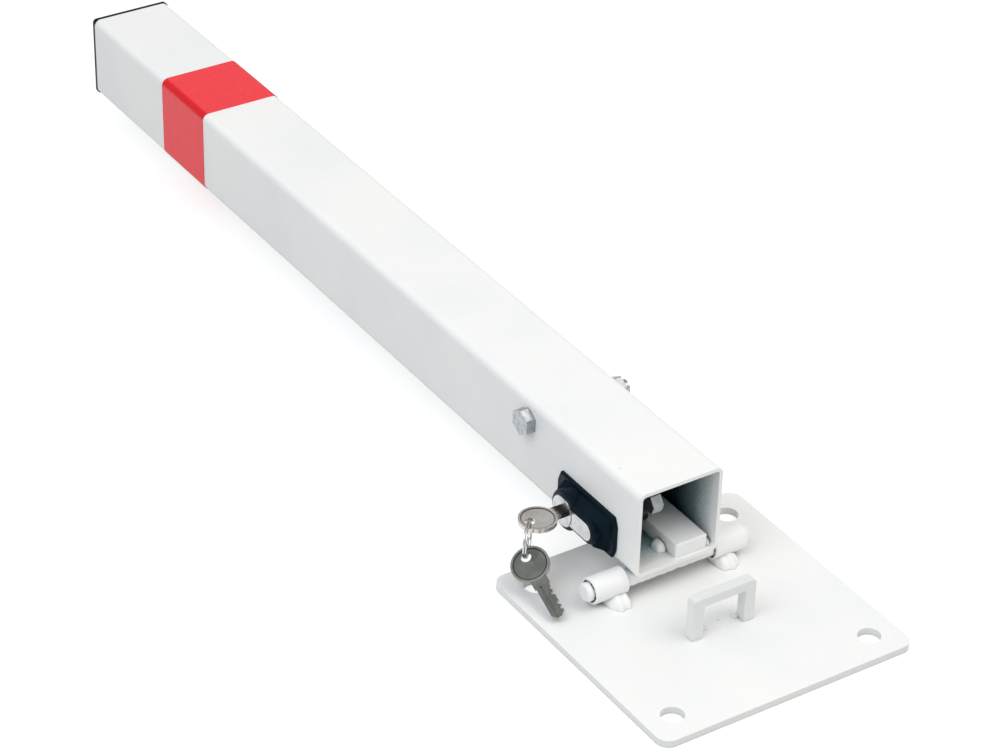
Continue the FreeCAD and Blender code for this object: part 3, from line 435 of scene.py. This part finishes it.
# %% Dress the construction nodes
FINISHES = {
    COAT: ("base_plate", "hinge_sleeve_left", "hinge_sleeve_right", "sleeve_welds", "shaft_welds"),
    STAPLE_COAT: ("lock_staple", "staple_welds"),
    SHAFT_COAT: ("hinge_shaft",),
    TUBE_COAT: ("post_tube",),
    BAR_COAT: ("inner_bar", "inner_bar_welds"),
    FILM: ("reflective_band",),
    PLASTIC: ("end_cap", "lock_escutcheon"),
    ZINC: ("pivot_bolt", "pivot_nut", "pivot_spacer_left", "pivot_spacer_right", "latch_hook",
           "lock_cam", "cylinder_screw"),
    CHROME: ("lock_plug", "key_ring"),
    HOUSING: ("lock_cylinder_body",),
    NICKEL: ("key_in_lock",),
    DARK: ("spare_key",),
}
for material, names in FINISHES.items():
    for name in names:
        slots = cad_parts[name].data.materials
        slots.clear()
        slots.append(material)
print("dressed:", sum(len(names) for names in FINISHES.values()))

# %% [markdown]
# The pieces below are surfaces worked out as functions of two parameters. Each is a grid of points:
# one index runs along or round the piece and the other across it. One helper turns such a grid into
# a mesh. It adds up the volume of the tetrahedra between the origin and each face, and where that
# comes out negative it turns the faces round, so that they point outwards.

# %% Grid to mesh
def fan_volume(points, faces):
    """Volume between the origin and faces, given as an array with a row of corners for each: a sixth
    of the sum of a . (b x c) over the triangles that fan out from a face's first corner."""
    fans = points[faces[:, :1]] * np.cross(points[faces[:, 1:-1]], points[faces[:, 2:]])
    return fans.sum() / 6


def grid_mesh(name, points, body, material, loop=False):
    """Mesh of a grid (rows, columns, xyz) whose columns close into rings. In a loop the last row joins
    the first one, and otherwise both get caps."""
    rows, columns = points.shape[:2]
    index = np.arange(rows * columns).reshape(rows, columns)
    caps = index[:0] if loop else np.stack([index[0], index[-1][::-1]])
    ring = np.hstack([index, index[:, :1]])
    if loop:
        ring = np.vstack([ring, ring[:1]])
    quads = np.stack([ring[:-1, :-1], ring[1:, :-1], ring[1:, 1:], ring[:-1, 1:]], axis=-1)
    quads = quads.reshape(-1, 4)
    flat = points.reshape(-1, 3)
    volume = fan_volume(flat, quads) + fan_volume(flat, caps)
    faces = quads.tolist() + caps.tolist()
    if volume < 0:
        faces = [face[::-1] for face in faces]
    mesh = bpy.data.meshes.new(name)
    mesh.from_pydata(flat.tolist(), [], faces)
    mesh.polygons.foreach_set("use_smooth", np.ones(len(faces), bool))
    made = bpy.data.objects.new(name, mesh)
    bpy.context.scene.collection.objects.link(made)
    made.data.materials.append(material)
    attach(made, body)
    print(name, "faces:", len(faces), "volume mm3:", round(abs(volume) / MM ** 3, 1))
    return made


def rounded(wave, power):
    """A sine or cosine with its size raised to a power, which squares up the round it draws."""
    return np.sign(wave) * np.abs(wave) ** power


# %% [markdown]
# Split ring: one spring-steel wire of flat section wound twice round and pressed shut. At one place
# the wire crosses from the front coil to the back one, and there the two cut ends show. The plain
# solid has two flat coils; the wound wire takes its place.

# %% Split ring
RING_TURN = math.radians(42)
RING_OUTWARD = np.array([-math.sin(RING_TURN), -math.cos(RING_TURN), 0.0])
UPWARD = np.array([0.0, 0.0, 1.0])
RING_AXLE = np.cross(RING_OUTWARD, UPWARD)
WIRE_HALF_HEIGHT = 0.6
WIRE_HALF_WIDTH = 0.52
COIL_OFFSET = 0.6
CROSSING = math.radians(24)


def make_split_ring():
    """Row angle t runs two turns, s goes round the section.
    Point = middle + (r + a(s)) radial(t) + (w(t) + b(s)) axle, in mm. The section a, b is a rounded
    rectangle, cos and sin with their size raised to 0.5. w goes from one coil's offset to the other's
    with a smooth step, 3 x^2 - 2 x^3, over the crossing to each side of one full turn."""
    lowest, highest = (np.array(corner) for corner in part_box("key_ring"))
    middle = (lowest + highest) / 2
    centre_radius = (highest[2] - lowest[2]) / 2 / MM - WIRE_HALF_HEIGHT
    t = np.linspace(1.15 * CROSSING, 4 * math.pi - 1.15 * CROSSING, 220)[:, None]
    s = np.linspace(0, 2 * math.pi, 20, endpoint=False)[None, :]
    x = np.clip((t - 2 * math.pi + CROSSING) / (2 * CROSSING), 0, 1)
    offset = COIL_OFFSET * (2 * (3 * x ** 2 - 2 * x ** 3) - 1)
    radial = np.cos(t)[..., None] * -RING_OUTWARD + np.sin(t)[..., None] * UPWARD
    out = centre_radius + WIRE_HALF_HEIGHT * rounded(np.cos(s), 0.5)
    across = offset + WIRE_HALF_WIDTH * rounded(np.sin(s), 0.5)
    # Out has one value for each s and radial one for each t, so their product is the whole grid
    points = middle + (out[..., None] * radial + across[..., None] * RING_AXLE) * MM
    return grid_mesh("key_ring_wound_wire", points, "ring", CHROME)


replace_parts(make_split_ring(), "key_ring")

# %% [markdown]
# Weld mounds: weld metal freezes in ripples behind the arc. The mounds under the hinge sleeves were
# laid in a few thick passes, so they have slow ridges and a foot that wets the plate, and the tacks
# in the tube are the same thing in small. All of them went under the powder coat afterwards.

# %% Weld mounds and tacks
def make_mound(name, middle_mm, radii_mm, seed, ridges, body, material):
    """Row v climbs from foot to top, u goes round. With c, d = cos u, sin u, their size raised to 0.7,
    and s = cos(v)^0.75 (1 + 0.04 sum of cos(k u + phase) / k), k from 2 to 6, the point is middle +
    (rx s c, ry s d w, rz sin(v) w), where w = 1 + 0.06 cos(ridges pi s c + phase) makes ridges
    along Y."""
    phases = np.random.default_rng(seed).uniform(0, 2 * math.pi, 6)
    v = np.linspace(0, 0.985, 26)[:, None] * math.pi / 2
    u = np.linspace(0, 2 * math.pi, 96, endpoint=False)[None, :]
    waves = sum(np.cos(k * u + phases[k - 2]) / k for k in range(2, 7))
    side = np.cos(v) ** 0.75 * (1 + 0.04 * waves)
    c, d = rounded(np.cos(u), 0.7), rounded(np.sin(u), 0.7)
    ridge = 1 + 0.06 * np.cos(ridges * math.pi * side * c + phases[5])
    x = middle_mm[0] + radii_mm[0] * side * c
    y = middle_mm[1] + radii_mm[1] * side * d * ridge
    z = middle_mm[2] + radii_mm[2] * np.sin(v) * ridge
    return grid_mesh(name, np.stack([x, y, z], axis=-1) * MM, body, material)


PLATE_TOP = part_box("base_plate")[1].z / MM
BORE_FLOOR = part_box("inner_bar")[0].z / MM
BAR_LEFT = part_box("inner_bar")[0].x / MM
# Where the hinge's middle line lies along Y, and how far a weld's foot sinks in what carries it
HINGE_Y = 31
SLEEVE_FOOT = 0.2
TACK_FOOT = 0.1
for side, x, seed in (("left", -32, 4), ("right", 34, 9)):
    foot = (x, HINGE_Y, PLATE_TOP - SLEEVE_FOOT)
    mound = make_mound(f"sleeve_weld_{side}", foot, (6.2, 12.2, 6.9), seed, 2.2, "base", COAT)
    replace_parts(mound, "sleeve_welds")

TACKS = (("left", (BAR_LEFT - 1.9, 35.6, BORE_FLOOR - TACK_FOOT), (3.2, 4.6, 4.2), 1.6),
         ("corner", (21.0, 28.2, BORE_FLOOR - TACK_FOOT), (1.7, 3.8, 3.2), 1.2))
for seed, (side, foot, radii, ridges) in enumerate(TACKS):
    tack = make_mound(f"bar_tack_{side}", foot, radii, seed, ridges, "post", BAR_COAT)
    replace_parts(tack, "inner_bar_welds")

# %% [markdown]
# Weld beads: a steady run leaves fish-scale ripples. The runs along the shaft are slim and nearly
# smooth, since the coat has filled them, and the small ones behind the staple's feet still show their
# scales. A bead is a rod whose radius swells once for each scale, with an end like half a ball.

# %% Rippled beads
def make_bead(name, start_mm, end_mm, radius_mm, pitch_mm, ripple, body, node, material):
    """Row t runs along X, u goes round. The radius is R (1 - k + k |sin(pi t / pitch)|^0.5), with k
    the ripple, and over the last R at both ends it closes as a ball would, by the square root of
    1 - q^2."""
    start, end = np.array(start_mm, float), np.array(end_mm, float)
    length = np.linalg.norm(end - start)
    t = np.linspace(0, length, max(24, int(length / pitch_mm * 8)))[:, None]
    u = np.linspace(0, 2 * math.pi, 24, endpoint=False)[None, :]
    q = np.clip(1 - np.minimum(t, length - t) / radius_mm, 0, 0.995)
    scales = 1 - ripple + ripple * np.abs(np.sin(math.pi * t / pitch_mm)) ** 0.5
    radius = radius_mm * scales * np.sqrt(1 - q ** 2)
    along = start[0] + t + 0 * u
    across, height = start[1] + radius * np.cos(u), start[2] + radius * np.sin(u)
    points = np.stack([along, across, height], axis=-1) * MM
    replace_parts(grid_mesh(name, points, body, material), node)


TUBE_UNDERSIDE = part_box("post_tube")[0].z / MM
STAPLE_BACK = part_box("lock_staple")[1].y / MM
# Half length of the runs along the shaft, and where they lie from its middle line and under the tube
SHAFT_RUN = 20
SHAFT_RUN_SIDE = 4.6
SHAFT_RUN_DROP = 1.7
for side, y in (("front", HINGE_Y - SHAFT_RUN_SIDE), ("back", HINGE_Y + SHAFT_RUN_SIDE)):
    start, end = ((x, y, TUBE_UNDERSIDE - SHAFT_RUN_DROP) for x in (-SHAFT_RUN, SHAFT_RUN))
    make_bead(f"shaft_weld_bead_{side}", start, end, 2.0, 2.4, 0.04, "post", "shaft_welds", COAT)
for side, ends in (("left", (-18.5, -5.5)), ("right", (9.5, 18.5))):
    start, end = ((x, STAPLE_BACK, PLATE_TOP) for x in ends)
    make_bead(f"staple_weld_bead_{side}", start, end, 1.7, 1.6, 0.1, "base", "staple_welds",
              STAPLE_COAT)

# %% [markdown]
# Hinge gaps: where the shaft turns in the sleeves the gap lies in shade, and a slim uneven dark ring
# at each sleeve's two ends is painted there as that shade.

# %% Painted shade in the hinge gaps
# Painted shade: a near-black ring stands in for the shade in each hinge gap
GREASE, tree = new_material("dark_hinge_gap_shade")
cover(tree, {"Base Color": "#10171B", "Roughness": 0.35})
HINGE_Z = sum(corner.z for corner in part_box("hinge_shaft")) / 2 / MM
GREASE_RADIUS = 5.5
GREASE_THICKNESS = 0.38
# How far inside a sleeve's end the ring's middle lies
GREASE_INSET = 0.25


def make_grease_ring(name, x_mm, seed):
    """Row a goes round the shaft, s round the section, whose radius is the painted shade ring's
    thickness times (1 + 0.5 cos(5 a + p) + 0.35 cos(13 a + q))."""
    first, second = np.random.default_rng(seed).uniform(0, 2 * math.pi, 2)
    a = np.linspace(0, 2 * math.pi, 119, endpoint=False)[:, None]
    s = np.linspace(0, 2 * math.pi, 10, endpoint=False)[None, :]
    thick = GREASE_THICKNESS * (1 + 0.5 * np.cos(5 * a + first) + 0.35 * np.cos(13 * a + second))
    radius = GREASE_RADIUS + thick * np.cos(s)
    y, z = HINGE_Y + radius * np.cos(a), HINGE_Z + radius * np.sin(a)
    points = np.stack([x_mm + thick * np.sin(s), y, z], axis=-1) * MM
    return grid_mesh(name, points, "base", GREASE, loop=True)


for side, sign in (("left", -1), ("right", 1)):
    lowest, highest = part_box(f"hinge_sleeve_{side}")
    inner, outer = sorted((lowest.x / MM, highest.x / MM), key=abs)
    make_grease_ring(f"hinge_gap_shade_inner_{side}", inner + GREASE_INSET * sign, 21)
    make_grease_ring(f"hinge_gap_shade_outer_{side}", outer - GREASE_INSET * sign, 22)

# %% [markdown]
# Stage: one wide pale floor under a white world. The floor shows white to the camera and to shiny
# metal because part of what it sends there is its own light, and the rest is real light, so that the
# object still leaves its soft shadow.

# %% Floor and world
FLOOR_REACH = 6.0
FLOOR_DROP = 0.0002
PAPER_LIGHT = 0.70
ROOM_LIGHT = 0.66


def make_paper():
    """Studio paper: grey by real light, with its own light added for the camera and shiny metal."""
    material, tree = new_material("studio_paper")
    paper = add(tree, "BsdfDiffuse", {"Color": "#B4B4B4"})
    lift = add(tree, "Emission", {"Color": "#FFFFFF", "Strength": PAPER_LIGHT})
    rays = add(tree, "LightPath").node.outputs
    seen = add(tree, "Math", (rays["Is Camera Ray"], rays["Is Glossy Ray"]), operation="ADD",
               use_clamp=True)
    both = add(tree, "AddShader", (paper, lift))
    add(tree, "OutputMaterial", {"Surface": add(tree, "MixShader", (seen, paper, both))})
    return material


def make_floor():
    """A wide flat square just under the plate."""
    mesh = bpy.data.meshes.new("floor")
    corners = np.array([(-1, -1, 0), (1, -1, 0), (1, 1, 0), (-1, 1, 0)]) * FLOOR_REACH
    corners[:, 2] = CAD_BOX[0][2] - FLOOR_DROP
    mesh.from_pydata(corners.tolist(), [], [(0, 1, 2, 3)])
    floor = bpy.data.objects.new("floor", mesh)
    bpy.context.scene.collection.objects.link(floor)
    floor.data.materials.append(make_paper())


def make_world():
    """Soft white light from everywhere, and pure white where the camera looks at it."""
    world = bpy.data.worlds.new("studio")
    bpy.context.scene.world = world
    world.use_nodes = True
    tree = world.node_tree
    tree.nodes.clear()
    camera_ray = add(tree, "LightPath", output="Is Camera Ray")
    strength = add(tree, "MapRange", (camera_ray, 0, 1, ROOM_LIGHT, 1.0))
    glow = add(tree, "Background", {"Color": "#FFFFFF", "Strength": strength})
    add(tree, "OutputWorld", {"Surface": glow})


make_floor()
make_world()
print("floor reach:", FLOOR_REACH, "m, room light:", ROOM_LIGHT)

# %% [markdown]
# Lights: a large soft box high at the front right makes the top of the post and the plate in front of
# it the brightest faces. The left side sees only the white room and a cooler second box, and comes
# out a shade darker, as in the photograph.

# %% Soft boxes
def soft_box(name, spot, target, size, power, tint):
    """A square area light at a spot, turned to face a target."""
    data = bpy.data.lights.new(name, "AREA")
    data.size = size
    data.energy = power
    data.color = linear(tint)[:3]
    lamp = bpy.data.objects.new(name, data)
    lamp.location = spot
    aim = Vector(target) - Vector(spot)
    lamp.rotation_euler = aim.to_track_quat("-Z", "Y").to_euler()
    bpy.context.scene.collection.objects.link(lamp)
    print(name, "at", spot, "m,", power, "W")


soft_box("key_box", (0.8, -0.9, 2.0), (0, 0.1, 0), 1.5, 17, "#FFFAF0")
soft_box("left_box", (-1.5, -0.3, 1.75), (0, 0.2, 0), 1.4, 19, "#EDF6FF")

# %% [markdown]
# Camera: worked out from the photograph's straight edges. The focal length, the place and the three
# directions come from fitting the plate's and the tube's corners, so the render lines up with it.

# %% Camera
FOCAL_PX = 3243.0
FRAME_PX = 1000
SENSOR_MM = 36.0
CAMERA_SPOT = Vector((-794.208, -1003.419, 976.845)) * MM
RIGHT = Vector((0.840049, -0.541937, 0.024936))
DOWN = Vector((-0.280111, -0.472643, -0.835552))
FORWARD = Vector((0.464602, 0.694920, -0.548846))
camera_data = bpy.data.cameras.new("camera")
camera_data.sensor_width = SENSOR_MM
camera_data.lens = FOCAL_PX * SENSOR_MM / FRAME_PX
camera_data.clip_end = 50
camera = bpy.data.objects.new("camera", camera_data)
turn = Matrix((RIGHT, -DOWN, -FORWARD)).transposed().to_4x4()
camera.matrix_world = Matrix.Translation(CAMERA_SPOT) @ turn
bpy.context.scene.collection.objects.link(camera)
bpy.context.scene.camera = camera
bpy.context.scene.view_settings.view_transform = "Standard"
print("lens", round(camera_data.lens, 2), "mm")
